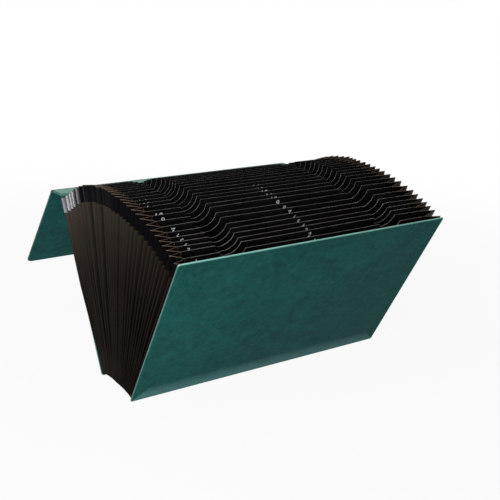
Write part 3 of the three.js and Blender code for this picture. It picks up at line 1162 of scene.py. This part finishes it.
class FOLDER_OT_numerals(Operator):
    """Print the index numerals along the upper edges of the dividers"""

    bl_idname = "folder.numerals"
    bl_label = "Numerals"

    def execute(self, context):
        fan, covers, sheets = settings("fan"), settings("covers"), settings("sheets")
        line = fan_line()
        top = sheet_top()
        half_width = covers.width / 2 - fan.ridge_inset - fan.pleat_depth
        bottom = fan.radius + fan.pleat_depth
        surface = -sheets.thickness / 2 - PRINT_LIFT
        work = bmesh.new()
        for number, node in enumerate(DIVIDERS, 1):
            plane = Plane(line, divider_lean(node))
            bow = SheetBow(number)
            for x in sheets.numeral_places:
                mesh = numeral_mesh(str(number), sheets.numeral_height)
                for vertex in mesh.vertices:
                    local = vertex.co.copy()
                    distance = top + crown(number) - sheets.numeral_drop + local.y
                    up = (distance - bottom) / (top + crown(number) - bottom)
                    lift = bow.at((x + local.x) / half_width, up)
                    vertex.co = plane.at(x + local.x, distance, lift + surface - local.z)
                work.from_mesh(mesh)
                bpy.data.meshes.remove(mesh)
        mesh = bpy.data.meshes.new("index_numerals")
        work.to_mesh(mesh)
        work.free()
        mesh.materials.append(finish("print_ink"))
        piece = link("index_numerals", mesh)
        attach(piece, "case")
        return {"FINISHED"}


# Floor, lamps and camera

WHITE = (1.0, 1.0, 1.0, 1.0)
NEAR_WHITE = 0.93
SHADOW_REACH = (0.4, 1.3)
FLOOR_HALF = 30.0
SENSOR_WIDTH = 36.0
CLIP_START = 0.02
BESIDE = (-0.12, 0.0, 0.15)
ABOVE = (-0.1, 0.0, 0.13)
LAMPS = (
    ("key", (-1.05, -0.85, 0.7), BESIDE, (0.3, 0.3), 10.5),
    ("overhead", (-0.7, -0.1, 1.5), ABOVE, (1.2, 1.0), 9.5),
    ("low_left", (-0.85, -0.75, 0.17), ABOVE, (0.8, 0.3), 7.2),
)


def seen_white(graph, camera_share):
    """1 for the rays that find plain white, and 0 for the light that falls on the object."""
    camera, gloss, through = (graph.node("ShaderNodeLightPath", output=f"Is {ray} Ray")
                              for ray in ("Camera", "Glossy", "Transmission"))
    return (camera * camera_share + gloss + through).clamp()


def paper_white_floor(tone):
    """White to the camera and in gloss, a plain pale surface to the light, with the shadow kept."""
    graph = Graph("floor")
    base = graph.mix(graph.noise(3.0, 2.0), scaled(tone, 0.98), tone)
    matt = graph.node("ShaderNodeBsdfPrincipled", {}, {"Base Color": base, "Roughness": 0.8})
    glow = graph.node("ShaderNodeEmission", {}, {"Color": WHITE, "Strength": 1.0})
    reach = graph.node("ShaderNodeVectorMath", {"operation": "LENGTH"}, {0: graph.place()}, "Value")
    share = NEAR_WHITE + (1 - NEAR_WHITE) * reach.step(*SHADOW_REACH)
    mixed = graph.node("ShaderNodeMixShader", {}, {0: seen_white(graph, share), 1: matt, 2: glow})
    return graph.finish(mixed)


def white_world(strength):
    """Plain soft light on the object, and white behind it and in its gloss."""
    world = bpy.data.worlds.new("studio")
    bpy.context.scene.world = world
    graph = Graph("studio", world)
    soft, bright = (graph.node("ShaderNodeBackground", {}, {"Color": WHITE, "Strength": level})
                    for level in (strength, 1.0))
    mixed = graph.node("ShaderNodeMixShader", {}, {0: seen_white(graph, 1.0), 1: soft, 2: bright})
    graph.finish(mixed, "World")


def softbox(name, place, target, size, power):
    """A rectangular lamp that faces a target."""
    lamp = bpy.data.lights.new(name, "AREA")
    lamp.shape = "RECTANGLE"
    lamp.size, lamp.size_y = size
    lamp.energy = power
    holder = link(name, lamp)
    holder.location = place
    holder.rotation_euler = (Vector(target) - Vector(place)).to_track_quat("-Z", "Y").to_euler()


class FOLDER_OT_stage(Operator):
    """Set up the pale floor, the soft lamps and the camera"""

    bl_idname = "folder.stage"
    bl_label = "Stage"

    def execute(self, context):
        stage = settings("stage")
        scene = context.scene
        scene.view_settings.view_transform = "Standard"
        far = FLOOR_HALF
        mesh = bpy.data.meshes.new("floor")
        corners = [(-far, -far, 0), (far, -far, 0), (far, far, 0), (-far, far, 0)]
        mesh.from_pydata(corners, [], [(0, 1, 2, 3)])
        mesh.materials.append(paper_white_floor(tuple(stage.floor)))
        floor = link("floor", mesh)
        white_world(stage.world_level)
        for lamp in LAMPS:
            softbox(*lamp)
        self.camera(scene, stage)
        return {"FINISHED"}

    def camera(self, scene, stage):
        yaw, pitch, roll = stage.camera_yaw, stage.camera_pitch, stage.camera_roll
        right = Vector((math.cos(yaw), math.sin(yaw), 0.0))
        level = math.cos(pitch)
        forward = Vector((-math.sin(yaw) * level, math.cos(yaw) * level, -math.sin(pitch)))
        up = right.cross(forward)
        rolled_right = right * math.cos(roll) + up * math.sin(roll)
        rolled_up = up * math.cos(roll) - right * math.sin(roll)
        turn = Matrix((rolled_right, rolled_up, -forward)).transposed().to_4x4()
        data = bpy.data.cameras.new("camera")
        data.sensor_fit = "HORIZONTAL"
        data.sensor_width = SENSOR_WIDTH
        data.lens = stage.lens
        data.clip_start = CLIP_START
        holder = link("camera", data)
        holder.matrix_world = Matrix.Translation(fan_line() + Vector(stage.camera_place)) @ turn
        scene.camera = holder


OPERATORS = (FOLDER_OT_covers, FOLDER_OT_flap, FOLDER_OT_creases, FOLDER_OT_bellows, FOLDER_OT_tapes,
             FOLDER_OT_dividers, FOLDER_OT_numerals, FOLDER_OT_stage)


class FOLDER_PT_sidebar(Panel):
    """Buttons for the folder's pieces"""

    bl_idname = "FOLDER_PT_sidebar"
    bl_label = "Expanding file folder"
    bl_space_type = "VIEW_3D"
    bl_region_type = "UI"
    bl_category = "Folder"

    def draw(self, context):
        for operator in OPERATORS:
            self.layout.operator(operator.bl_idname)


CLASSES = (*SETTINGS.values(), *OPERATORS, FOLDER_PT_sidebar)


def register():
    for item in CLASSES:
        bpy.utils.register_class(item)
    for name, group in SETTINGS.items():
        setattr(bpy.types.Scene, f"folder_{name}", PointerProperty(type=group))


def unregister():
    for name in SETTINGS:
        delattr(bpy.types.Scene, f"folder_{name}")
    for item in reversed(CLASSES):
        bpy.utils.unregister_class(item)


def main():
    register()
    for operator in OPERATORS:
        group, name = operator.bl_idname.split(".")
        getattr(getattr(bpy.ops, group), name)()


if __name__ == "__main__":
    main()
